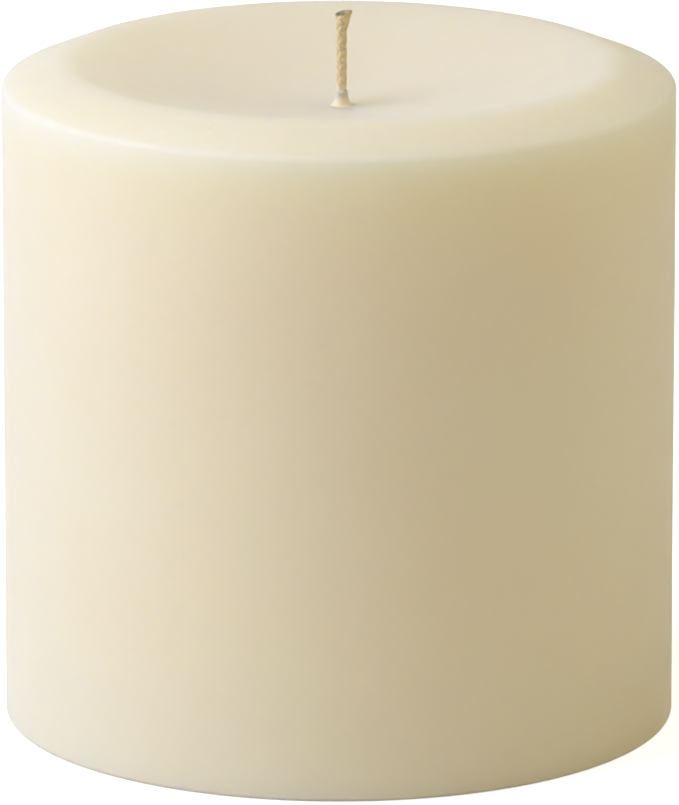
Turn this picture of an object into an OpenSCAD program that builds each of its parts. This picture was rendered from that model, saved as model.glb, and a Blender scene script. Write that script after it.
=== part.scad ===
// Squat pillar candle of ivory wax: a straight side, a rim that slopes up to a
// soft crest, a shallow dish inside it, and a braided wick on a metal tab.
// Millimetres, +Z up. The origin is the centre of the base, on the table.

/* [Wax body] */
// Diameter of the side wall
wax_d = 76; // [60:1:110]
// Height of the side wall, from the table to the shoulder
wall_h = 73.2; // [50:0.1:150]
// Rounding of the bottom edge
foot_r = 0.6; // [0.3:0.1:1.5]
// Rounding of the shoulder, where the wall turns into the rim
shoulder_r = 0.9; // [0.4:0.1:1.5]

/* [Top] */
// Width of the rim that slopes up from the shoulder to the crest
rim_w = 7; // [5:0.1:10]
// Rise of the rim over that width
rim_rise = 2.8; // [1.5:0.1:4]
// Rounding of the crest between the rim and the dish
crest_r = 5; // [3:0.5:8]
// Depth of the dish, from the crest's corner down to the foot of the wick
dish_depth = 5.5; // [3:0.1:8]
// Reach of the nearly level middle of the dish
pool_r = 9; // [4:0.5:14]
// Height to which the wax creeps up the wick
cuff_h = 1.6; // [0.5:0.1:3]
// Width of that cuff of wax at its foot
cuff_w = 0.6; // [0.2:0.05:1]
// Wall of the cuff at its top edge
cuff_lip = 0.04; // [0.02:0.01:0.2]

/* [Nick in the crest] */
// Direction of the nick from the wick, in degrees from +X
nick_at = 245; // [0:1:359]
// Distance of its middle from the side wall
nick_in = 5; // [4:0.1:6]
// Length of the nick, down the slope of the rim
nick_l = 1.5; // [0.5:0.1:3]
// Width of the nick
nick_w = 0.3; // [0.2:0.05:0.8]

/* [Wick] */
// Diameter over the braid
wick_d = 1.3; // [0.9:0.05:2.5]
// Length of wick that stands above the dish
stub_h = 10.7; // [5:0.1:16]
// Distance of the wick from the middle of the candle, to the side
wick_off = 0.3; // [0:0.1:1.5]
// Width of the cut end, where the braid has opened
tip_d = 2; // [1.5:0.1:4]
// Length over which the braid opens towards the cut end
flare_h = 2.4; // [1:0.1:3]
// Slope of the cut across the end, in degrees
cut_tilt = 12; // [0:1:25]
// Distance that the cut end leans to the side
tip_lean = 0.25; // [0:0.05:1]
// Plies that go round each way in the braid
plies_each_way = 4; // [3:1:6]
// Length in which a ply goes once round the wick
ply_lay = 6; // [4:0.5:12]
// Depth of the pits between the plies
ply_relief = 0.11; // [0.05:0.01:0.25]
// Radial gap between the wick and the wax that was cast round it
bore_gap = 0.02; // [0.02:0.01:0.2]

/* [Wick tab] */
// Diameter of the tab's disc
tab_d = 15; // [10:0.5:20]
// Thickness of the sheet metal
tab_t = 0.25; // [0.15:0.05:0.5]
// Height of the neck above the disc
neck_h = 4; // [2.5:0.5:8]
// Inside radius of the bend between the disc and the neck
neck_bend_r = 0.4; // [0.2:0.05:0.8]
// Depth of the two flats that the crimping tool leaves on the neck
crimp_depth = 0.1; // [0.05:0.01:0.12]
// Height of those flats
crimp_h = 1.4; // [0.8:0.1:1.6]
// Gap between the neck and the wick in it
neck_gap = 0.02; // [0.01:0.01:0.05]
// Height of the disc's underside above the table
tab_recess = 0.5; // [0.2:0.1:1.5]
// Gap between the tab and its seat in the wax
seat_gap = 0.1; // [0.05:0.01:0.3]

/* [Hidden] */

// Points on each rounded edge, on the dish and on the cuff
edge_steps = 8;
crest_steps = 12;
dish_steps = 16;
cuff_steps = 12;
// Sides of the round solids
round_fn = 128;

wax_r = wax_d / 2;
crest_at = wax_r - rim_w;
crest_z = wall_h + rim_rise;
foot_z = crest_z - dish_depth;
rim_slope = atan(rim_rise / rim_w);

wick_r = wick_d / 2;
bore_r = wick_r + bore_gap;
cuff_in = bore_r + cuff_lip;
cuff_out = cuff_in + cuff_w;
cuff_top = dish_z(cuff_out) + cuff_h;

tab_r = tab_d / 2;
tab_top = tab_recess + tab_t;
neck_in = wick_r + neck_gap;
neck_out = neck_in + tab_t;
neck_top = tab_top + neck_h;
crimp_mid = (tab_top + neck_bend_r + neck_top) / 2;
seat_r = tab_r + seat_gap;
seat_top = tab_top + seat_gap;
socket_r = neck_out + neck_bend_r + seat_gap;
socket_top = neck_top + seat_gap;

// Depth to which the foot of the cuff is let into the dish
cuff_sink = 0.05;
// Rise of a ply where it passes over another, as a share of its own thickness
ply_lift = 0.5;
// Rings and sides that draw each ply where it crosses another
cross_rings = 4;
cross_sides = 8;
braid_sides = plies_each_way * cross_sides;
braid_step = ply_lay / (2 * plies_each_way * cross_rings);
braid_low = cuff_top - cuff_h / 2;
wick_top = foot_z + stub_h;
braid_rings = ceil((wick_top - braid_low) / braid_step);

function unit(v) = v / norm(v);

// 0 below low, 1 above high, and a smooth step between them
function ramp(z, low, high) =
    let (t = max(0, min(1, (z - low) / (high - low))))
    t * t * (3 - 2 * t);

// The arc of radius r that rounds corner b between its neighbours a and c
function rounded(a, b, c, r, steps) =
    let (
        to_a = unit(a - b),
        to_c = unit(c - b),
        half = acos(to_a * to_c) / 2,
        centre = b + unit(to_a + to_c) * r / sin(half),
        first = b + to_a * r / tan(half) - centre,
        start = atan2(first.y, first.x),
        turn = sign(cross(b - a, c - b)) * (180 - 2 * half)
    )
    [for (i = [0:steps]) let (t = start + turn * i / steps) centre + r * [cos(t), sin(t)]];

// The dish is a cone whose point is rounded off over pool_r
function bowl(r) = sqrt(r * r + pool_r * pool_r) - pool_r;
function dish_z(r) = foot_z + dish_depth * bowl(r) / bowl(crest_at);

function dish_points(from, to) =
    [for (i = [0:dish_steps]) let (r = from + (to - from) * i / dish_steps) [r, dish_z(r)]];

// The hollow curve of the wax that creeps up the wick
function cuff_points() =
    [for (i = [0:cuff_steps]) let (t = 90 * i / cuff_steps)
        [cuff_out - cuff_w * sin(t), cuff_top - (cuff_h + cuff_sink) * cos(t)]];

// Half section of the pillar, from its axis round over the crest and into the dish
function pillar_section() =
    let (
        middle = [0, 0],
        foot = [wax_r, 0],
        shoulder = [wax_r, wall_h],
        crest = [crest_at, crest_z],
        dish_edge = [crest_at - crest_r, dish_z(crest_at - crest_r)]
    )
    concat(
        [middle],
        rounded(middle, foot, shoulder, foot_r, edge_steps),
        rounded(foot, shoulder, crest, shoulder_r, edge_steps),
        rounded(shoulder, crest, dish_edge, crest_r, crest_steps),
        dish_points(dish_edge.x, 0)
    );

// Half section of the cuff, which stands in the dish
function cuff_section() =
    let (root_z = foot_z - cuff_w)
    concat([[0, root_z], [cuff_out, root_z]], cuff_points(), [[0, cuff_top]]);

// Half section of the hollow round the wick and its tab
function bore_section() =
    [[0, -1], [seat_r, -1], [seat_r, seat_top], [socket_r, seat_top], [neck_out + seat_gap, socket_top],
     [bore_r, socket_top], [bore_r, cuff_top + 1], [0, cuff_top + 1]];

// The wick and all that holds it stand a little to one side of the middle
module at_wick() {
    translate([wick_off, 0, 0])
        children();
}

// A knock that left a short round-bottomed groove down the slope of the rim
module nick() {
    rotate(nick_at)
        translate([wax_r - nick_in, 0, wall_h + nick_in * tan(rim_slope)])
            rotate([0, 90 + rim_slope, 0])
                cylinder(d = nick_w, h = nick_l, center = true, $fn = round_fn);
}

module wax_body() {
    color("#f2e8d3")
        difference() {
            union() {
                rotate_extrude($fn = round_fn)
                    polygon(pillar_section());
                at_wick()
                    rotate_extrude($fn = round_fn)
                        polygon(cuff_section());
            }
            at_wick()
                rotate_extrude($fn = round_fn)
                    polygon(bore_section());
            nick();
        }
}

// Height of the weave at angle a and height z, from 0 in a pit to 1 on top of a ply.
// Plies go round both ways, and each passes over and under the others in turn.
function weave(a, z) =
    let (
        n = plies_each_way,
        turned = 360 * z / ply_lay,
        right_hand = (1 + cos(n * (a - turned))) / 2,
        left_hand = (1 + cos(n * (a + turned))) / 2,
        over = ply_lift * (cos(n * a) + cos(n * turned)) / 2
    )
    max(right_hand + over, left_hand - over) / (1 + ply_lift);

// One ring of the wick's skin. Towards the cut end it opens, leans and tilts.
function wick_ring(z, braided) =
    let (
        opened = ramp(z, wick_top - flare_h, wick_top),
        swell = 1 + (tip_d / wick_d - 1) * opened,
        lean = tip_lean * opened
    )
    [for (i = [0:braid_sides - 1])
        let (
            a = 360 * i / braid_sides,
            r = swell * (wick_r - (braided ? ply_relief * (1 - weave(a, z)) : 0)),
            x = r * cos(a)
        )
        [lean + x, r * sin(a), z + x * tan(cut_tilt) * opened]];

// In the wax the wick is plain, and from the cuff up it shows its plies
module wick() {
    plain = [for (z = [tab_recess, braid_low - braid_step]) wick_ring(z, false)];
    braid = [for (i = [0:braid_rings])
        wick_ring(braid_low + (wick_top - braid_low) * i / braid_rings, true)];
    rings = concat(plain, braid);
    n = braid_sides;
    last = len(rings) - 1;
    underside = [for (i = [0:n - 1]) i];
    cut_face = [for (i = [n - 1:-1:0]) last * n + i];
    skin = [for (j = [0:last - 1], i = [0:n - 1])
        let (here = j * n + i, next = j * n + (i + 1) % n)
        each [[here, next + n, next], [here, here + n, next + n]]];
    color("#c8b07c")
        at_wick()
            polyhedron([for (ring = rings) each ring], concat([underside, cut_face], skin), convexity = 6);
}

// Half section of the tab: a flat disc that turns up into the neck
function tab_section() =
    let (
        lip = [neck_in, neck_top],
        under_corner = [neck_in, tab_recess],
        under_edge = [tab_r, tab_recess],
        top_edge = [tab_r, tab_top],
        top_corner = [neck_out, tab_top],
        neck_edge = [neck_out, neck_top]
    )
    concat(
        rounded(lip, under_corner, under_edge, neck_bend_r + tab_t, edge_steps),
        [under_edge, top_edge],
        rounded(top_edge, top_corner, neck_edge, neck_bend_r, edge_steps),
        [neck_edge, lip]
    );

module wick_tab() {
    cutter = 2 * neck_out;
    color("#c9cbcd")
        at_wick()
            difference() {
                rotate_extrude($fn = round_fn)
                    polygon(tab_section());
                for (side = [-1, 1])
                    translate([side * (neck_out - crimp_depth + cutter / 2), 0, crimp_mid])
                        cube([cutter, cutter, crimp_h], center = true);
            }
}

wax_body();
wick();
wick_tab();
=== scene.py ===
# %% [markdown]
# # An ivory pillar candle
# The candle is three real things: a pillar of paraffin wax, a braided cotton wick that
# runs right through it, and a thin metal tab that holds the wick at the base. The packed
# solids give each of them its size and place. This script gives them their surfaces, and
# then a floor, lamps and a camera. Blender works in metres, so the sizes that a candle
# maker would give in millimetres are written that way and multiplied by MM.

# %% Load the solids
import math

import bpy
from mathutils import Matrix, Vector


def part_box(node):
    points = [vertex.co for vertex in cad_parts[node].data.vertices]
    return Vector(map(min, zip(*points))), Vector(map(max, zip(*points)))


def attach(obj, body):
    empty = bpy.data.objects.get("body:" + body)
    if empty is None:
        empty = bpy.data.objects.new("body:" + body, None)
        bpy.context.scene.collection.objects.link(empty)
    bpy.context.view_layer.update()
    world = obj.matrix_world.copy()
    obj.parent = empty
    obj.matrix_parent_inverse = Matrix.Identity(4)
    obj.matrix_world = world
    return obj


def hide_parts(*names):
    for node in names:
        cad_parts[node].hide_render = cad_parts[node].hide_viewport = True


MM = 0.001
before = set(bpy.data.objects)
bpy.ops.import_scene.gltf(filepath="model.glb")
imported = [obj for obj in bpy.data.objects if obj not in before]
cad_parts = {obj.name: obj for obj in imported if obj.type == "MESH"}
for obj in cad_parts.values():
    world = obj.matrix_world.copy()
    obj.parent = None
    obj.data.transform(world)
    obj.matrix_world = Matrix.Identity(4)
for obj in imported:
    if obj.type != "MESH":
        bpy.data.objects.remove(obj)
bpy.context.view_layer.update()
wax_low, wax_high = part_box("wax_body")
wick_low, wick_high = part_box("wick")
print("wax", [round(v / MM, 2) for v in wax_high - wax_low], "mm")
print("wick", [round(v / MM, 2) for v in wick_high - wick_low], "mm")

# %% [markdown]
# ## The camera
# The side wall of the candle narrows by under 2 percent from top to bottom, which is
# perspective and not a taper. That puts a long lens more than a metre away, 14 and a half
# degrees above the table. The photograph was cropped a little off the lens's axis, so the
# camera aims 2 mm below the middle of the candle.

# %% Camera
FRAME_HEIGHT_PX = 805
FOCAL_PX = 10138
LOOK_DOWN = math.radians(14.47)
DISTANCE = 1149.5 * MM
AIM_RIGHT = 0.07 * MM
AIM_DOWN = 2.03 * MM

back = Vector((0, -math.cos(LOOK_DOWN), math.sin(LOOK_DOWN)))
picture_up = Vector((0, math.sin(LOOK_DOWN), math.cos(LOOK_DOWN)))
middle = Vector((0, 0, wax_high.x))
aim = middle + Vector((AIM_RIGHT, 0, 0)) - picture_up * AIM_DOWN

camera = bpy.data.objects.new("camera", bpy.data.cameras.new("camera"))
bpy.context.scene.collection.objects.link(camera)
camera.location = middle + back * DISTANCE
camera.rotation_euler = (camera.location - aim).to_track_quat("Z", "Y").to_euler()
camera.data.sensor_width = 36
camera.data.lens = FOCAL_PX * camera.data.sensor_width / FRAME_HEIGHT_PX
camera.data.clip_start = 0.05
camera.data.clip_end = 50
bpy.context.scene.camera = camera
print("lens", round(camera.data.lens, 1), "mm at", round(DISTANCE, 3), "m")

# %% [markdown]
# ## The wax's half section
# A moulded candle is a solid of revolution, so its whole shape is one outline: base, side
# wall, shoulder, a rim that slopes up to a soft crest, and the dish that the wax left as
# it shrank on cooling. The corners are rounded by arcs. Long runs get extra points, because
# a surface can only be uneven where it has points to move.

WAX_R = wax_high.x
WALL_H = 73.2 * MM
FOOT_R = 0.6 * MM
SHOULDER_R = 0.9 * MM
RIM_W = 7 * MM
RIM_RISE = 2.8 * MM
CREST_R = 5 * MM
DISH_DEPTH = 5.5 * MM
POOL_R = 9 * MM
CUFF_H = 1.6 * MM
CUFF_W = 0.6 * MM
WICK_R = 0.65 * MM
WICK_GAP = 0.02 * MM
BORE_R = WICK_R + WICK_GAP
CUFF_LIP = 0.04 * MM
WICK_OFF = 0.3 * MM
CREST_AT = WAX_R - RIM_W
FOOT_Z = WALL_H + RIM_RISE - DISH_DEPTH
DISH_R = CREST_AT - CREST_R
print("crest", round(CREST_AT / MM, 1), "mm out, wick's foot", round(FOOT_Z / MM, 2), "mm up")


# %% Arcs, runs and the dish's curve
def rounded(a, b, c, radius, steps):
    """Points of the arc that rounds corner b between its neighbours a and c."""
    to_a, to_c = (a - b).normalized(), (c - b).normalized()
    half = to_a.angle(to_c) / 2
    centre = b + (to_a + to_c).normalized() * radius / math.sin(half)
    first = b + to_a * radius / math.tan(half) - centre
    turn = math.copysign(math.pi - 2 * half, (b - a).cross(c - b))
    return [centre + Matrix.Rotation(turn * i / steps, 2) @ first for i in range(steps + 1)]


def run(a, b, step):
    """Points between a and b, about a step apart, without the ends."""
    count = max(1, round((b - a).length / step))
    return [a.lerp(b, i / count) for i in range(1, count)]


def dish_z(r):
    """Height of the dish: a shallow cone whose point is rounded off."""
    def bowl(x):
        return math.hypot(x, POOL_R) - POOL_R
    return FOOT_Z + DISH_DEPTH * bowl(r) / bowl(CREST_AT)


print("dish", round((dish_z(CREST_AT) - dish_z(0)) / MM, 2), "mm deep")

# %% The tab's seat, and how far apart the points are
tab_low, tab_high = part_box("wick_tab")
TAB_R = (tab_high.x - tab_low.x) / 2
NECK_TOP = tab_high.z
SEAT_GAP = 0.1 * MM
SHEET_T = 0.25 * MM
NECK_BEND_R = 0.4 * MM
BASE_STEP = 3 * MM
WALL_STEP = 2 * MM
RIM_STEP = 0.12 * MM
DISH_ROWS = 48
DISH_CROWDING = 0.8
CUFF_ROWS = 16
print("tab", round(TAB_R / MM, 2), "mm in radius, neck up to", round(NECK_TOP / MM, 2), "mm")

# %% The section, once round from the tab's seat in the base
seat = Vector((TAB_R + SEAT_GAP, 0))
foot = Vector((WAX_R, 0))
shoulder = Vector((WAX_R, WALL_H))
crest = Vector((CREST_AT, WALL_H + RIM_RISE))
dish_edge = Vector((DISH_R, dish_z(DISH_R)))

foot_arc = rounded(seat, foot, shoulder, FOOT_R, steps=8)
shoulder_arc = rounded(foot, shoulder, crest, SHOULDER_R, steps=12)
crest_arc = rounded(shoulder, crest, dish_edge, CREST_R, steps=20)
rim = run(shoulder_arc[-1], crest_arc[0], RIM_STEP)

# The dish's rings crowd a little towards the wick, and the cuff is a quarter of an oval
cuff_out = BORE_R + CUFF_LIP + CUFF_W
dish = [DISH_R + (cuff_out - DISH_R) * (i / DISH_ROWS) ** DISH_CROWDING
        for i in range(DISH_ROWS + 1)]
cuff = [
    Vector((cuff_out - CUFF_W * math.sin(t), dish_z(cuff_out) + CUFF_H * (1 - math.cos(t))))
    for t in (math.pi / 2 * i / CUFF_ROWS for i in range(1, CUFF_ROWS + 1))
]
neck_out = WICK_R + SHEET_T + WICK_GAP
seat_top = tab_low.z + SHEET_T + SEAT_GAP
socket = [
    Vector((BORE_R, cuff[-1].y)),
    Vector((BORE_R, NECK_TOP + SEAT_GAP)),
    Vector((neck_out + SEAT_GAP, NECK_TOP + SEAT_GAP)),
    Vector((neck_out + NECK_BEND_R + SEAT_GAP, seat_top)),
    Vector((seat.x, seat_top)),
]
section = (
    [seat] + run(seat, foot_arc[0], BASE_STEP)
    + foot_arc + run(foot_arc[-1], shoulder_arc[0], WALL_STEP)
    + shoulder_arc + rim
    + crest_arc[:-1] + [Vector((r, dish_z(r))) for r in dish]
    + cuff + socket + [seat]
)
print(len(section), "points; top at", round(max(p.y for p in section) / MM, 2), "mm")

# %% [markdown]
# ## Sweeping the section round
# Geometry Nodes turn the outline into the candle. A flat grid has one row for each point
# of the outline and one column for each direction. Each grid point looks up its place on
# the outline and is turned about Z. The columns crowd together at one side, where the
# crest has a small nick that needs fine mesh. The wick stands a little to one side, as it
# was pulled there while the wax set, so the inner rings slide across with it. A soft noise
# then draws the skin in by a few hundredths of a millimetre, because wax shrinks unevenly in
# its mould. The base, the bore and the tab's seat keep their shape.

# %% Helpers for node trees
def put(tree, kind, inputs=None, **settings):
    """Adds a node, sets its properties, and links or fills its inputs. Returns its outputs."""
    made = tree.nodes.new(kind)
    for name, value in settings.items():
        setattr(made, name, value)
    for socket, value in (inputs or {}).items():
        if isinstance(value, bpy.types.NodeSocket):
            tree.links.new(value, made.inputs[socket])
        else:
            made.inputs[socket].default_value = value
    return made.outputs


def maths(tree, operation, a, b=0.0, clamp=False):
    """One step of arithmetic in a node tree."""
    return put(tree, "ShaderNodeMath", {0: a, 1: b}, operation=operation, use_clamp=clamp)[0]


def smooth_step(tree, value, low, high, to_low=0.0, to_high=1.0):
    """to_low below low, to_high above high, and an easy curve between them."""
    return put(tree, "ShaderNodeMapRange", {"Value": value, "From Min": low, "From Max": high,
                                            "To Min": to_low, "To Max": to_high},
               interpolation_type="SMOOTHSTEP")[0]


# %% Start and finish of a Geometry Nodes tree
def new_tree(name, **inputs):
    """A geometry tree with named inputs. Returns the tree and its input sockets."""
    tree = bpy.data.node_groups.new(name, "GeometryNodeTree")
    tree.interface.new_socket("Geometry", in_out="INPUT", socket_type="NodeSocketGeometry")
    tree.interface.new_socket("Geometry", in_out="OUTPUT", socket_type="NodeSocketGeometry")
    kinds = {int: "NodeSocketInt", float: "NodeSocketFloat",
             bpy.types.Material: "NodeSocketMaterial"}
    for label, kind in inputs.items():
        tree.interface.new_socket(label, in_out="INPUT", socket_type=kinds[kind])
    return tree, put(tree, "NodeGroupInput")


def close_tree(tree, geometry, material):
    """Ends a tree: instances made real, smooth shading, and the material."""
    real = put(tree, "GeometryNodeRealizeInstances", {0: geometry})[0]
    smooth = put(tree, "GeometryNodeSetShadeSmooth", {"Geometry": real})[0]
    painted = put(tree, "GeometryNodeSetMaterial", {"Geometry": smooth, "Material": material})[0]
    put(tree, "NodeGroupOutput", {0: painted})


# %% Growing a piece from a tree
def volume(mesh):
    """Volume inside a closed mesh. It is negative where the faces point inwards."""
    mesh.calc_loop_triangles()
    corners = [v.co for v in mesh.vertices]
    return sum(corners[a].dot(corners[b].cross(corners[c])) for a, b, c in
               (t.vertices for t in mesh.loop_triangles)) / 6


CREASE = math.radians(50)


def grow(name, tree, start, **values):
    """Runs a tree on a mesh and returns the result as a plain mesh object of that name."""
    source = bpy.data.objects.new("source", start)
    bpy.context.scene.collection.objects.link(source)
    modifier = source.modifiers.new("grow", "NODES")
    modifier.node_group = tree
    for item in tree.interface.items_tree:
        if item.in_out == "INPUT" and item.name in values:
            modifier[item.identifier] = values[item.name]
    graph = bpy.context.evaluated_depsgraph_get()
    mesh = bpy.data.meshes.new_from_object(source.evaluated_get(graph), depsgraph=graph)
    bpy.data.objects.remove(source)
    mesh.name = name
    mesh.set_sharp_from_angle(angle=CREASE)
    piece = bpy.data.objects.new(name, mesh)
    bpy.context.scene.collection.objects.link(piece)
    print(name, len(mesh.vertices), "points,", len(mesh.polygons), "faces,",
          round(volume(mesh) / MM**3, 1), "mm3")
    return piece


# %% The tree that sweeps the section
TOO_CLOSE = 0.001 * MM

tree, given = new_tree(
    "sweep_section", Columns=int, Crowd_at=float, Crowding=float, Aside=float, Aside_from=float,
    Aside_to=float, Unevenness=float, Seed=int, Finish=bpy.types.Material)
rows = put(tree, "GeometryNodeAttributeDomainSize", {0: given["Geometry"]})["Point Count"]
columns_and_seam = maths(tree, "ADD", given["Columns"], 1.0)
grid = put(tree, "GeometryNodeMeshGrid",
           {"Vertices X": columns_and_seam, "Vertices Y": rows})["Mesh"]
index = put(tree, "GeometryNodeInputIndex")[0]
row = maths(tree, "FLOORED_MODULO", index, rows)
column = maths(tree, "FLOOR", maths(tree, "DIVIDE", maths(tree, "ADD", index, 0.5), rows))

# An even turn, less a sine, has columns close together where the sine is steepest
turn = maths(tree, "MULTIPLY", maths(tree, "DIVIDE", column, given["Columns"]), 2 * math.pi)
swing = maths(tree, "MULTIPLY", maths(tree, "SINE", turn), given["Crowding"])
angle = maths(tree, "ADD", maths(tree, "SUBTRACT", turn, swing), given["Crowd_at"])

place = put(tree, "GeometryNodeInputPosition")[0]
sampled = put(tree, "GeometryNodeSampleIndex",
              {0: given["Geometry"], "Value": place, "Index": row},
              data_type="FLOAT_VECTOR", clamp=True)["Value"]
turned = put(tree, "ShaderNodeVectorRotate", {"Vector": sampled, "Angle": angle},
             rotation_type="Z_AXIS")[0]
swept = put(tree, "GeometryNodeSetPosition", {"Geometry": grid, "Position": turned})[0]
merged = put(tree, "GeometryNodeMergeByDistance", {"Geometry": swept, "Distance": TOO_CLOSE})[0]

# %% The same tree: an uneven skin, and the middle slid aside
TRUE_BORE = 2 * MM
FADE_IN = 6 * MM
LUMPS_IN_A_METRE = 45.0
INWARD_ONLY = 0.75

# Uneven only outside the bore and above the table, from none to full over a few millimetres
apart = put(tree, "ShaderNodeSeparateXYZ", {0: place})
reach = put(tree, "ShaderNodeVectorMath", {0: place, 1: (1, 1, 0)}, operation="MULTIPLY")[0]
radius = put(tree, "ShaderNodeVectorMath", {0: reach}, operation="LENGTH")["Value"]
off_table = maths(tree, "DIVIDE", apart["Z"], FADE_IN, clamp=True)
off_bore = maths(tree, "DIVIDE", maths(tree, "SUBTRACT", radius, TRUE_BORE), FADE_IN, clamp=True)
noise = put(tree, "ShaderNodeTexNoise",
            {"Vector": place, "W": given["Seed"], "Scale": LUMPS_IN_A_METRE, "Detail": 2.0},
            noise_dimensions="4D")["Fac"]
lift = maths(tree, "MULTIPLY", maths(tree, "SUBTRACT", noise, INWARD_ONLY), given["Unevenness"])
lift = maths(tree, "MULTIPLY", maths(tree, "MULTIPLY", lift, off_table), off_bore)
normal = put(tree, "GeometryNodeInputNormal")[0]
offset = put(tree, "ShaderNodeVectorMath", {0: normal, "Scale": lift}, operation="SCALE")[0]
uneven = put(tree, "GeometryNodeSetPosition", {"Geometry": merged, "Offset": offset})[0]

# The rings near the wick slide aside with it, and the rings near the wall don't
inner = smooth_step(tree, radius, given["Aside_from"], given["Aside_to"], given["Aside"], 0.0)
sideways = put(tree, "ShaderNodeCombineXYZ", {0: inner})[0]
slid = put(tree, "GeometryNodeSetPosition", {"Geometry": uneven, "Offset": sideways})[0]
close_tree(tree, slid, given["Finish"])
sweep_tree = tree
print("sweep made of", len(tree.nodes), "nodes")

# %% [markdown]
# ## What ivory wax looks like
# Light goes into paraffin wax, scatters, and comes out again a few millimetres away, the
# blue part nearest to where it went in. That is why the shaded side of a candle is warm and
# glows below its lit rim. Random-walk subsurface scattering does just that. The skin has a
# soft sheen, faint clouds where the wax cooled at different speeds, a painted glow: a paler
# band at the top of the wall, and a very fine grain. The cuff round the wick is so thin that
# the cotton shows through it. All of this reads the object's own coordinates, so it stays in
# place in every view.

# %% Helpers for materials
def new_material(name):
    """A material with an empty node tree, and its Principled shader."""
    made = bpy.data.materials.new(name)
    made.use_nodes = True
    made.node_tree.nodes.clear()
    shader = made.node_tree.nodes.new("ShaderNodeBsdfPrincipled")
    put(made.node_tree, "ShaderNodeOutputMaterial", {"Surface": shader.outputs[0]})
    return made, made.node_tree, shader


def colour_mix(tree, factor, a, b):
    """Mixes two colours, each a socket or four numbers."""
    made = tree.nodes.new("ShaderNodeMix")
    made.data_type = "RGBA"
    for socket, value in ((made.inputs[0], factor), (made.inputs[6], a), (made.inputs[7], b)):
        if isinstance(value, bpy.types.NodeSocket):
            tree.links.new(value, socket)
        else:
            socket.default_value = value
    return made.outputs[2]


def noise_at(tree, scale, detail=2.0, stretch=(1, 1, 1)):
    """Noise fixed to the object, with scale in lumps for each metre."""
    here = put(tree, "ShaderNodeTexCoord")["Object"]
    mapped = put(tree, "ShaderNodeMapping", {"Vector": here, "Scale": stretch})[0]
    return put(tree, "ShaderNodeTexNoise",
               {"Vector": mapped, "Scale": scale, "Detail": detail})["Fac"]


def spread(tree, value, low, high, to_low, to_high):
    """Maps a value from one range to another, and holds it there."""
    return put(tree, "ShaderNodeMapRange", {"Value": value, "From Min": low, "From Max": high,
                                            "To Min": to_low, "To Max": to_high})[0]


# %% Wax: its colours
IVORY = (0.925, 0.822, 0.65, 1)
IVORY_CLOUD = (0.913, 0.802, 0.626, 1)
# A paler ivory for the painted glow under the lit rim
IVORY_PAINTED_GLOW = (0.908, 0.829, 0.682, 1)
OVER_COTTON = (0.83, 0.73, 0.54, 1)

BAND_LOW, BAND_FULL = WALL_H - 5 * MM, WALL_H - 0.8 * MM
BAND_FADES, BAND_ENDS = WALL_H - 0.4 * MM, WALL_H + 0.2 * MM

wax, tree, shader = new_material("ivory_wax")
clouds = spread(tree, noise_at(tree, 38), 0.35, 0.65, 0, 1)
ivory = colour_mix(tree, clouds, IVORY, IVORY_CLOUD)
here = put(tree, "ShaderNodeSeparateXYZ", {0: put(tree, "ShaderNodeTexCoord")["Object"]})
wick_x = maths(tree, "SUBTRACT", here["X"], WICK_OFF)
from_wick = maths(tree, "SQRT", maths(tree, "ADD", maths(tree, "MULTIPLY", wick_x, wick_x),
                                      maths(tree, "MULTIPLY", here["Y"], here["Y"])))

# Painted glow: the wall is painted a little paler just under the shoulder, for light that enters
# the lit rim and comes out below it
near_rim = smooth_step(tree, here["Z"], BAND_LOW, BAND_FULL)
under_rim = spread(tree, here["Z"], BAND_FADES, BAND_ENDS, 1, 0)
on_wall = spread(tree, from_wick, CREST_AT, CREST_AT + 2 * MM, 0, 1)
painted_glow = maths(tree, "MULTIPLY", maths(tree, "MULTIPLY", near_rim, under_rim), on_wall)
ivory = colour_mix(tree, painted_glow, ivory, IVORY_PAINTED_GLOW)

# The cotton shows through the thin cuff
thin = spread(tree, from_wick, 0.7 * MM, 1.6 * MM, 1, 0)
tree.links.new(colour_mix(tree, thin, ivory, OVER_COTTON), shader.inputs["Base Color"])
print("wax colour made of", len(tree.nodes), "nodes")

# %% Wax: its depth and its sheen
WAX_IOR = 1.44

# Light can go less far in the thin cuff, and near the base
deep = spread(tree, from_wick, 1.2 * MM, 2 * MM, 0.3 * MM, 14 * MM)
off_floor = spread(tree, here["Z"], 0, 10 * MM, 0.12, 1)
tree.links.new(maths(tree, "MULTIPLY", deep, off_floor), shader.inputs["Subsurface Scale"])
shader.inputs["Subsurface Weight"].default_value = 1
shader.inputs["Subsurface Radius"].default_value = (1.0, 1.0, 0.65)

# The sheen comes and goes a little, over soft dents and a grain too fine to see by itself
sheen = spread(tree, noise_at(tree, 160), 0.3, 0.7, 0.5, 0.74)
tree.links.new(sheen, shader.inputs["Roughness"])
shader.inputs["IOR"].default_value = WAX_IOR
dents = put(tree, "ShaderNodeBump", {"Height": noise_at(tree, 220), "Strength": 0.25,
                                     "Distance": 0.05 * MM})[0]
grain = put(tree, "ShaderNodeBump", {"Height": noise_at(tree, 2600, 3), "Strength": 0.3,
                                     "Distance": 0.01 * MM, "Normal": dents})[0]
tree.links.new(grain, shader.inputs["Normal"])
print("wax made of", len(tree.nodes), "nodes")

# %% Grow the wax
def outline_mesh(points):
    """The points of a section as a mesh that a tree can read."""
    made = bpy.data.meshes.new("section")
    made.from_pydata([(p.x, 0, p.y) for p in points], [], [])
    return made


NICK_AT = math.radians(245)
wax_pillar = grow(
    "wax_pillar", sweep_tree, outline_mesh(section), Columns=300, Crowd_at=NICK_AT, Crowding=0.9,
    Aside=WICK_OFF, Aside_from=8 * MM, Aside_to=24 * MM, Unevenness=0.12 * MM, Seed=4, Finish=wax)

# %% [markdown]
# ## The nick in the crest
# Something once knocked the rim, and left a short groove that runs down its slope near the
# front. A knock moves wax and doesn't remove it, so the groove is pressed into the same
# skin: the points inside it move straight in, deepest along its middle.

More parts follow.
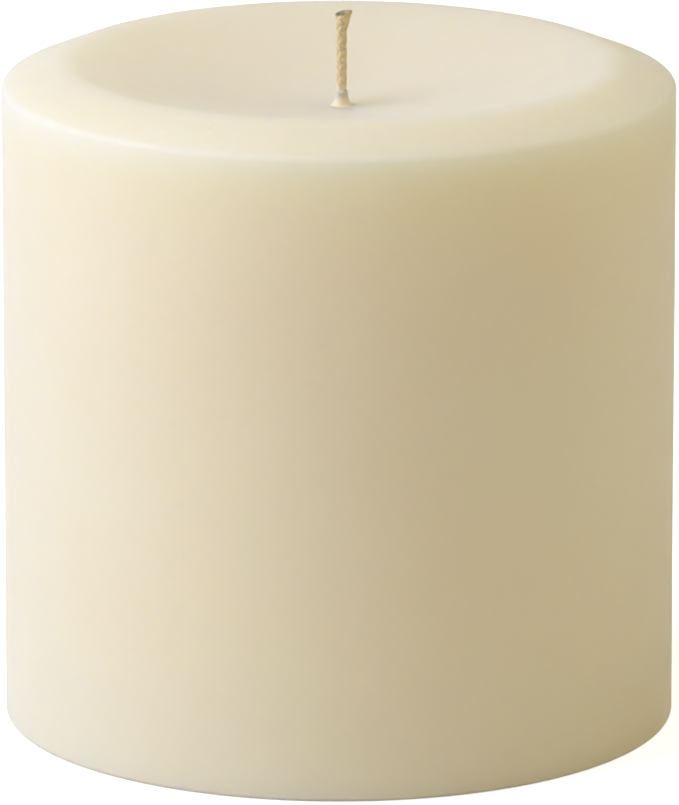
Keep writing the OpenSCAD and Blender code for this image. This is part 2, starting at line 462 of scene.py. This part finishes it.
# %% Press the nick
NICK_L = 1.5 * MM
NICK_W = 0.34 * MM
NICK_DEPTH = 0.17 * MM
NICK_R = WAX_R - 5 * MM
rim_out = (shoulder - crest).normalized()
rim_normal = Vector((-rim_out.y, rim_out.x))
nick_ray = Vector((math.cos(NICK_AT), math.sin(NICK_AT)))
pressed = 0
for point in wax_pillar.data.vertices:
    place = Vector((point.co.x, point.co.y))
    along = (place.dot(nick_ray) - NICK_R) / (NICK_L / 2)
    across = place.cross(nick_ray) / (NICK_W / 2)
    if point.co.z > WALL_H and abs(along) < 1 and abs(across) < 1:
        deep = NICK_DEPTH * (1 - across ** 2) * (1 - along ** 4)
        point.co -= deep * Vector((*(nick_ray * rim_normal.x), rim_normal.y))
        pressed += 1
print("nick of", pressed, "points")
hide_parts("wax_body")
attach(wax_pillar, "root")

# %% [markdown]
# ## The braided wick
# Candle wick is cotton yarn that is braided round a core, bleached and dipped in wax, which
# stiffens it and fills its pits. Here eight flattened plies go round the core, four each
# way, and each passes over and under those that it meets. One rule gives all of that, so
# Geometry Nodes draw it: a flat grid stands for one ply, it is copied eight times, and each
# point works out its height, its angle and its distance from the core. Then the whole wick
# is opened, leaned over and cut on a slant at its end, as scissors leave it, and a few
# loose fibres stand out from the cut.

# %% Sizes of the wick
WICK_LOW = wick_low.z
WICK_TOP = FOOT_Z + 10.7 * MM
OPEN_END_R = 1 * MM
BRAID_LOW = dish_z(cuff_out)
CUFF_TOP = BRAID_LOW + CUFF_H
BRAID = {
    "Plies_each_way": 4, "Rows": 150, "Sides": 12, "Lay": 6 * MM,
    "Low": BRAID_LOW, "Top": WICK_TOP, "Path_r": 0.49 * MM, "Lift": 0.045 * MM,
    "Ply_width": 0.74 * MM, "Ply_thickness": 0.22 * MM,
    "Flare": 2.4 * MM, "Swell": OPEN_END_R / WICK_R, "Aside": WICK_OFF, "Lean": 0.25 * MM,
    "Cut_slope": math.tan(math.radians(12)),
    "Fibres": 46, "Fibre_length": 0.4 * MM, "Fibre_r": 0.011 * MM, "Seed": 3,
}
print("wick from", round(WICK_LOW / MM, 2), "to", round(WICK_TOP / MM, 2), "mm")


# %% More helpers for curved rules
def vector(tree, x, y, z):
    """Three numbers as one vector."""
    return put(tree, "ShaderNodeCombineXYZ", {0: x, 1: y, 2: z})[0]


def round_axis(tree, radius, angle, height):
    """The point at that radius, angle and height."""
    x = maths(tree, "MULTIPLY", radius, maths(tree, "COSINE", angle))
    y = maths(tree, "MULTIPLY", radius, maths(tree, "SINE", angle))
    return vector(tree, x, y, height)


# %% Braid tree: one ply as a flat grid, copied and numbered
kinds = {name: type(value) for name, value in BRAID.items()}
tree, given = new_tree("braid_wick", Finish=bpy.types.Material, **kinds)
side_points = maths(tree, "ADD", given["Sides"], 1.0)
flat = put(tree, "GeometryNodeMeshGrid", {"Vertices X": given["Rows"], "Vertices Y": side_points})
mapped = put(tree, "GeometryNodeStoreNamedAttribute",
             {"Geometry": flat["Mesh"], "Name": "ply_uv", "Value": flat["UV Map"]},
             data_type="FLOAT2", domain="CORNER")[0]
one_ply = put(tree, "GeometryNodeGeometryToInstance", {0: mapped})[0]
ply_count = maths(tree, "MULTIPLY", given["Plies_each_way"], 2.0)
copies = put(tree, "GeometryNodeDuplicateElements", {"Geometry": one_ply, "Amount": ply_count},
             domain="INSTANCE")
numbered = put(tree, "GeometryNodeStoreNamedAttribute",
               {"Geometry": copies["Geometry"], "Name": "ply", "Value": copies["Duplicate Index"]},
               data_type="INT", domain="INSTANCE")[0]
plies = put(tree, "GeometryNodeRealizeInstances", {0: numbered})[0]

# %% Braid tree: where each point of a ply lies
index = put(tree, "GeometryNodeInputIndex")[0]
in_ply = maths(tree, "FLOORED_MODULO", index, maths(tree, "MULTIPLY", given["Rows"], side_points))
side = maths(tree, "FLOORED_MODULO", in_ply, side_points)
row = maths(tree, "FLOOR", maths(tree, "DIVIDE", maths(tree, "ADD", in_ply, 0.5), side_points))

# The first and the last row draw in to a point and close the ply's ends
last_row = maths(tree, "SUBTRACT", given["Rows"], 1.5)
not_first = maths(tree, "GREATER_THAN", row, 0.5)
not_last = maths(tree, "LESS_THAN", row, last_row)
full = maths(tree, "MULTIPLY", not_first, not_last)
share = maths(tree, "DIVIDE", maths(tree, "SUBTRACT", row, 1.0),
              maths(tree, "SUBTRACT", given["Rows"], 3.0), clamp=True)
height = put(tree, "ShaderNodeMapRange", {"Value": share, "To Min": given["Low"],
                                          "To Max": given["Top"]})[0]

# Even plies turn one way and odd plies the other, and the wave puts one over the other
ply = put(tree, "GeometryNodeInputNamedAttribute", {"Name": "ply"}, data_type="INT")[0]
odd = maths(tree, "FLOORED_MODULO", ply, 2.0)
hand = maths(tree, "SUBTRACT", 1.0, maths(tree, "MULTIPLY", odd, 2.0))
pair = maths(tree, "FLOOR", maths(tree, "DIVIDE", ply, 2.0))
start = maths(tree, "MULTIPLY", maths(tree, "DIVIDE", pair, given["Plies_each_way"]), 2 * math.pi)
turned = maths(tree, "MULTIPLY", maths(tree, "DIVIDE", height, given["Lay"]), 2 * math.pi)
wave = maths(tree, "COSINE", maths(tree, "MULTIPLY", turned, given["Plies_each_way"]))
over = maths(tree, "MULTIPLY", maths(tree, "MULTIPLY", wave, hand), given["Lift"])
path_angle = maths(tree, "ADD", maths(tree, "MULTIPLY", hand, turned), start)

# %% Braid tree: the width of a ply, and the core among the plies
# Across, a ply is a flat oval that hugs the core
around = maths(tree, "MULTIPLY", maths(tree, "DIVIDE", side, given["Sides"]), 2 * math.pi)
half_width = maths(tree, "MULTIPLY", maths(tree, "MULTIPLY", given["Ply_width"], 0.5), full)
half_thick = maths(tree, "MULTIPLY", maths(tree, "MULTIPLY", given["Ply_thickness"], 0.5), full)
across = maths(tree, "MULTIPLY", maths(tree, "COSINE", around), half_width)
outward = maths(tree, "MULTIPLY", maths(tree, "SINE", around), half_thick)
ply_r = maths(tree, "ADD", maths(tree, "ADD", given["Path_r"], over), outward)
ply_angle = maths(tree, "ADD", path_angle, maths(tree, "DIVIDE", across, given["Path_r"]))
wound = put(tree, "GeometryNodeSetPosition",
            {"Geometry": plies, "Position": round_axis(tree, ply_r, ply_angle, height)})[0]
sealed = put(tree, "GeometryNodeMergeByDistance",
             {"Geometry": wound, "Distance": TOO_CLOSE / 2})[0]
whole = put(tree, "GeometryNodeJoinGeometry")
for part in (given["Geometry"], sealed):
    tree.links.new(part, whole[0].node.inputs[0])

# %% Braid tree: open, lean and cut the end
here = put(tree, "ShaderNodeSeparateXYZ", {0: put(tree, "GeometryNodeInputPosition")[0]})
flare_from = maths(tree, "SUBTRACT", given["Top"], given["Flare"])
opened = smooth_step(tree, here["Z"], flare_from, given["Top"])
widening = maths(tree, "SUBTRACT", given["Swell"], 1.0)
swell = maths(tree, "ADD", 1.0, maths(tree, "MULTIPLY", opened, widening))
to_side = maths(tree, "ADD", given["Aside"], maths(tree, "MULTIPLY", given["Lean"], opened))
wide_x = maths(tree, "MULTIPLY", here["X"], swell)
wide_y = maths(tree, "MULTIPLY", here["Y"], swell)
cut = maths(tree, "MULTIPLY", maths(tree, "MULTIPLY", wide_x, given["Cut_slope"]), opened)
shaped = put(tree, "GeometryNodeSetPosition", {"Geometry": whole[0], "Position": vector(
    tree, maths(tree, "ADD", to_side, wide_x), wide_y, maths(tree, "ADD", here["Z"], cut))})[0]


# %% Helpers for chance
def chance(tree, low, high, seed):
    """A random number for each point, fixed by the seed."""
    made = put(tree, "FunctionNodeRandomValue", {"Seed": seed}, data_type="FLOAT")[0].node
    pick = [s for s in made.inputs if s.enabled and s.name in ("Min", "Max")]
    pick[0].default_value, pick[1].default_value = low, high
    return [s for s in made.outputs if s.enabled][0]


def next_seed(step):
    """Another seed for each random thing, counted on from the tree's own."""
    return maths(tree, "ADD", given["Seed"], float(step))


# %% Braid tree: where the fibres are rooted
# Roots are spread evenly over the cut's slanted oval, and start a little below it
PAST_THE_PATH = 1.15
ROOT_DEPTH = 0.1 * MM
open_r = maths(tree, "MULTIPLY", given["Swell"], given["Path_r"])
tip_r = maths(tree, "MULTIPLY", open_r, PAST_THE_PATH)
far = maths(tree, "MULTIPLY", maths(tree, "SQRT", chance(tree, 0.0, 1.0, next_seed(1))), tip_r)
way = chance(tree, 0.0, 2 * math.pi, next_seed(2))
root_x = maths(tree, "MULTIPLY", far, maths(tree, "COSINE", way))
root_z = maths(tree, "ADD", given["Top"], maths(tree, "MULTIPLY", root_x, given["Cut_slope"]))
tip_x = maths(tree, "ADD", given["Aside"], given["Lean"])
root = vector(tree, maths(tree, "ADD", root_x, tip_x),
              maths(tree, "MULTIPLY", far, maths(tree, "SINE", way)),
              maths(tree, "SUBTRACT", root_z, ROOT_DEPTH))
roots = put(tree, "GeometryNodePoints", {"Count": given["Fibres"], "Position": root})[0]

# %% Braid tree: the loose fibres
# A fibre rises, then bows outwards, and each copy is turned, tipped and sized by chance
bend = put(tree, "GeometryNodeCurveQuadraticBezier", {"Resolution": 5, "Start": (0, 0, 0)})
for point, out, up in (("Middle", 0.12, 0.6), ("End", 0.5, 0.85)):
    tree.links.new(vector(tree, maths(tree, "MULTIPLY", given["Fibre_length"], out), 0.0,
                          maths(tree, "MULTIPLY", given["Fibre_length"], up)),
                   bend[0].node.inputs[point])
ring = put(tree, "GeometryNodeCurvePrimitiveCircle",
           {"Resolution": 5, "Radius": given["Fibre_r"]})[0]
fibre = put(tree, "GeometryNodeCurveToMesh",
            {"Curve": bend[0], "Profile Curve": ring, "Fill Caps": True})[0]
fibre_turn = maths(tree, "ADD", way, chance(tree, -0.7, 0.7, next_seed(3)))
fibre_tip = chance(tree, -0.4, 0.3, next_seed(4))
fibre_size = chance(tree, 0.35, 1.0, next_seed(5))
fibres = put(tree, "GeometryNodeInstanceOnPoints",
             {"Points": roots, "Instance": fibre, "Scale": fibre_size,
              "Rotation": vector(tree, 0.0, fibre_tip, fibre_turn)})[0]
ends = put(tree, "GeometryNodeJoinGeometry")
for part in (shaped, fibres):
    tree.links.new(part, ends[0].node.inputs[0])
close_tree(tree, ends[0], given["Finish"])
braid_tree = tree
print("braid made of", len(tree.nodes), "nodes")

# %% [markdown]
# ## What the wick looks like
# Waxed cotton is straw-coloured, with the fine lines of its yarns along every ply. The
# plies carry their own map, so the lines follow them round. At the foot a film of wax
# turns it pale. The end was singed and trimmed, so the cut is brown. It is darkest at the
# left, where the scissors pressed it flat, and paler at its loose right side.

# %% Waxed cotton: its colour and its yarns
STRAW = (0.96, 0.76, 0.48, 1)
STRAW_DEEP = (0.86, 0.64, 0.36, 1)

cotton, tree, shader = new_material("waxed_cotton")
ply_map = put(tree, "ShaderNodeAttribute", attribute_name="ply_uv")["Vector"]
along_ply = put(tree, "ShaderNodeMapping",
                {"Vector": ply_map, "Scale": (26, 14, 1), "Rotation": (0, 0, 0.05)})[0]

# Noise that is long along the ply gives its fibres, and a wave across it gives its yarns
fibres_seen = put(tree, "ShaderNodeTexNoise",
                  {"Vector": along_ply, "Scale": 3.0, "Detail": 3.0})["Fac"]
yarns = put(tree, "ShaderNodeTexWave",
            {"Vector": along_ply, "Scale": 0.55, "Distortion": 1.5, "Detail": 2.0},
            bands_direction="Y")["Fac"]
shade = spread(tree, fibres_seen, 0.35, 0.65, 0, 1)
straw = colour_mix(tree, shade, STRAW_DEEP, STRAW)
print("yarns made of", len(tree.nodes), "nodes")

# %% Waxed cotton: the film of wax, the singed cut and the relief
WAX_FILM = (0.95, 0.84, 0.64, 1)
SINGED = (0.26, 0.205, 0.125, 1)
SINGED_PALE = (0.61, 0.50, 0.32, 1)

# Height above the wax and depth below the slanted cut, both from the object's own place
TIP_X = BRAID["Aside"] + BRAID["Lean"]
FILM_FULL, FILM_ENDS = CUFF_TOP + 0.2 * MM, CUFF_TOP + 1.1 * MM
FILM_RAGGED = 1.2 * MM
spot = put(tree, "ShaderNodeSeparateXYZ", {0: put(tree, "ShaderNodeTexCoord")["Object"]})
ragged = maths(tree, "MULTIPLY", maths(tree, "SUBTRACT", noise_at(tree, 1400), 0.5), FILM_RAGGED)
film = spread(tree, maths(tree, "ADD", spot["Z"], ragged), FILM_FULL, FILM_ENDS, 1, 0)
filmed = colour_mix(tree, film, straw, WAX_FILM)
slope = maths(tree, "MULTIPLY", maths(tree, "SUBTRACT", spot["X"], TIP_X), BRAID["Cut_slope"])
above_cut = maths(tree, "SUBTRACT", maths(tree, "SUBTRACT", spot["Z"], WICK_TOP), slope)
singe = maths(tree, "MULTIPLY", spread(tree, above_cut, -0.28 * MM, -0.04 * MM, 0, 1),
              spread(tree, above_cut, 0.05 * MM, 0.25 * MM, 1, 0.25))
loose_side = spread(tree, spot["X"], TIP_X - 0.1 * MM, TIP_X + 0.3 * MM, 0, 1)
colour = colour_mix(tree, singe, filmed, colour_mix(tree, loose_side, SINGED, SINGED_PALE))
tree.links.new(colour, shader.inputs["Base Color"])
tree.links.new(spread(tree, film, 0, 1, 0.55, 0.4), shader.inputs["Roughness"])
shader.inputs["Subsurface Weight"].default_value = 0.4
shader.inputs["Subsurface Radius"].default_value = (1.0, 0.75, 0.45)
shader.inputs["Subsurface Scale"].default_value = 0.45 * MM
relief = maths(tree, "ADD", maths(tree, "MULTIPLY", yarns, 0.7),
               maths(tree, "MULTIPLY", fibres_seen, 0.5))
threads = put(tree, "ShaderNodeBump",
              {"Height": relief, "Strength": 0.35, "Distance": 0.02 * MM})[0]
tree.links.new(threads, shader.inputs["Normal"])
print("cotton made of", len(tree.nodes), "nodes")

# %% Grow the wick
# The core is plain in the wax. Above it, the core is thinner, and the plies cover it.
PLAIN_TO, THIN_FROM = BRAID_LOW + 0.2 * MM, BRAID_LOW + 0.5 * MM
CORE_R = BRAID["Path_r"] - 0.03 * MM
CORE_STEP = 0.4 * MM

core_section = [
    Vector((0, WICK_LOW)), Vector((WICK_R, WICK_LOW)),
    Vector((WICK_R, PLAIN_TO)), Vector((CORE_R, THIN_FROM)),
]
core_section += run(core_section[-1], Vector((CORE_R, WICK_TOP)), CORE_STEP)
core_section += [Vector((CORE_R, WICK_TOP)), Vector((0, WICK_TOP)), Vector((0, WICK_LOW))]
core = grow("wick_core", sweep_tree, outline_mesh(core_section), Columns=24, Crowd_at=0.0,
            Crowding=0.0, Aside=0.0, Aside_from=0.0, Aside_to=1.0, Unevenness=0.0, Seed=0,
            Finish=cotton)
braided_wick = grow("braided_wick", braid_tree, core.data, Finish=cotton, **BRAID)
bpy.data.objects.remove(core)
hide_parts("wick")
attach(braided_wick, "root")

# %% [markdown]
# ## The metal tab
# The tab is seen only from below. Its solid already has the right shape, so it stays and
# gets a material: bright tin on thin steel, with the fine lines that the rolls left along
# the sheet.

# %% Tinplate
TIN = (0.66, 0.67, 0.68, 1)
TIN_DULL = (0.54, 0.55, 0.56, 1)

tin, tree, shader = new_material("tinplate")
rolled = noise_at(tree, 900, 2, (0.03, 1, 1))
cloudy = noise_at(tree, 260, 3)
tree.links.new(colour_mix(tree, cloudy, TIN, TIN_DULL), shader.inputs["Base Color"])
shader.inputs["Metallic"].default_value = 1
tree.links.new(spread(tree, cloudy, 0.3, 0.7, 0.22, 0.36), shader.inputs["Roughness"])
lines = put(tree, "ShaderNodeBump", {"Height": rolled, "Strength": 0.25, "Distance": 0.01 * MM})[0]
tree.links.new(lines, shader.inputs["Normal"])
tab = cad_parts["wick_tab"]
tab.data.materials.clear()
tab.data.materials.append(tin)
print("tab has", len(tab.data.vertices), "points")

# %% [markdown]
# ## Floor, lamps and world
# In the photograph the candle stands on white and is lit softly from its left. The wick's
# faint shadow on the dish says where the main lamp is. It falls to the right and a little
# back, so the lamp stands to the left and a little in front, about 40 degrees up, and the
# shadow fades so fast that the lamp must be large. The shaded side is warmer than the lit
# side, so the main lamp is slightly cool and the three that fill the shade are warm. The
# floor is white paper. It throws light back up the wall, glows a little where the camera
# looks straight at it, so that it reads as white, and still takes the candle's shadow.

# %% Floor
WHITE = (1, 1, 1, 1)
PAPER = (0.79, 0.775, 0.73, 1)
PAPER_GLOW = (0.965, 0.975, 1, 1)
GLOW_LEVEL = 0.71
FLOOR_HALF = 4.0
FLOOR_Z = -0.02 * MM


def seen_directly(tree):
    """1 for rays from the camera, a mirror or a glass, and 0 for the light on the object."""
    path = put(tree, "ShaderNodeLightPath")
    both = maths(tree, "MAXIMUM", path["Is Camera Ray"], path["Is Glossy Ray"])
    return maths(tree, "MAXIMUM", both, path["Is Transmission Ray"])


# The paper lies a hair below the base, so that no two surfaces share a plane
paper, tree, shader = new_material("floor_paper")
shader.inputs["Base Color"].default_value = PAPER
shader.inputs["Roughness"].default_value = 0.9
shader.inputs["Emission Color"].default_value = PAPER_GLOW
glow = maths(tree, "MULTIPLY", seen_directly(tree), GLOW_LEVEL)
tree.links.new(glow, shader.inputs["Emission Strength"])
corners = [(x * FLOOR_HALF, y * FLOOR_HALF, FLOOR_Z)
           for x, y in ((-1, -1), (1, -1), (1, 1), (-1, 1))]
floor_mesh = bpy.data.meshes.new("floor")
floor_mesh.from_pydata(corners, [], [(0, 1, 2, 3)])
floor_mesh.materials.append(paper)
floor = bpy.data.objects.new("floor", floor_mesh)
bpy.context.scene.collection.objects.link(floor)
print("floor", 2 * FLOOR_HALF, "m across, glow", GLOW_LEVEL)


# %% Lamps
def lamp(name, direction, distance, size, watts, colour):
    """A round soft lamp that faces the candle from a direction."""
    light = bpy.data.lights.new(name, "AREA")
    light.shape = "DISK"
    light.size = size
    light.energy = watts
    light.color = colour
    made = bpy.data.objects.new(name, light)
    bpy.context.scene.collection.objects.link(made)
    made.location = middle + Vector(direction).normalized() * distance
    made.rotation_euler = (made.location - middle).to_track_quat("Z", "Y").to_euler()
    print(name, watts, "W at", distance, "m")


COOL = (0.81, 0.855, 1.0)
WARM = (1.0, 0.88, 0.41)
MILD = (1.0, 0.90, 0.64)
lamp("key", (-0.729, -0.195, 0.656), distance=1.2, size=1.15, watts=15.9, colour=COOL)
lamp("front", (0, -0.94, 0.342), distance=1.3, size=0.9, watts=1.88, colour=WARM)
lamp("right", (0.92, 0.15, 0.35), distance=1.2, size=0.9, watts=2.87, colour=MILD)
lamp("right_above", (0.45, 0.05, 0.89), distance=1.2, size=0.9, watts=2.85, colour=MILD)

# %% World
# White where the camera looks past the floor, and a very weak warm light on the candle
SOFT_LEVEL = 0.05

world = bpy.data.worlds.new("studio")
bpy.context.scene.world = world
world.use_nodes = True
tree = world.node_tree
tree.nodes.clear()
soft = tuple(SOFT_LEVEL * c for c in WARM) + (1,)
studio = colour_mix(tree, seen_directly(tree), soft, WHITE)
background = put(tree, "ShaderNodeBackground", {"Color": studio, "Strength": 1.0})[0]
put(tree, "ShaderNodeOutputWorld", {"Surface": background})
bpy.context.scene.view_settings.view_transform = "Standard"
print("world lights the candle at", SOFT_LEVEL)
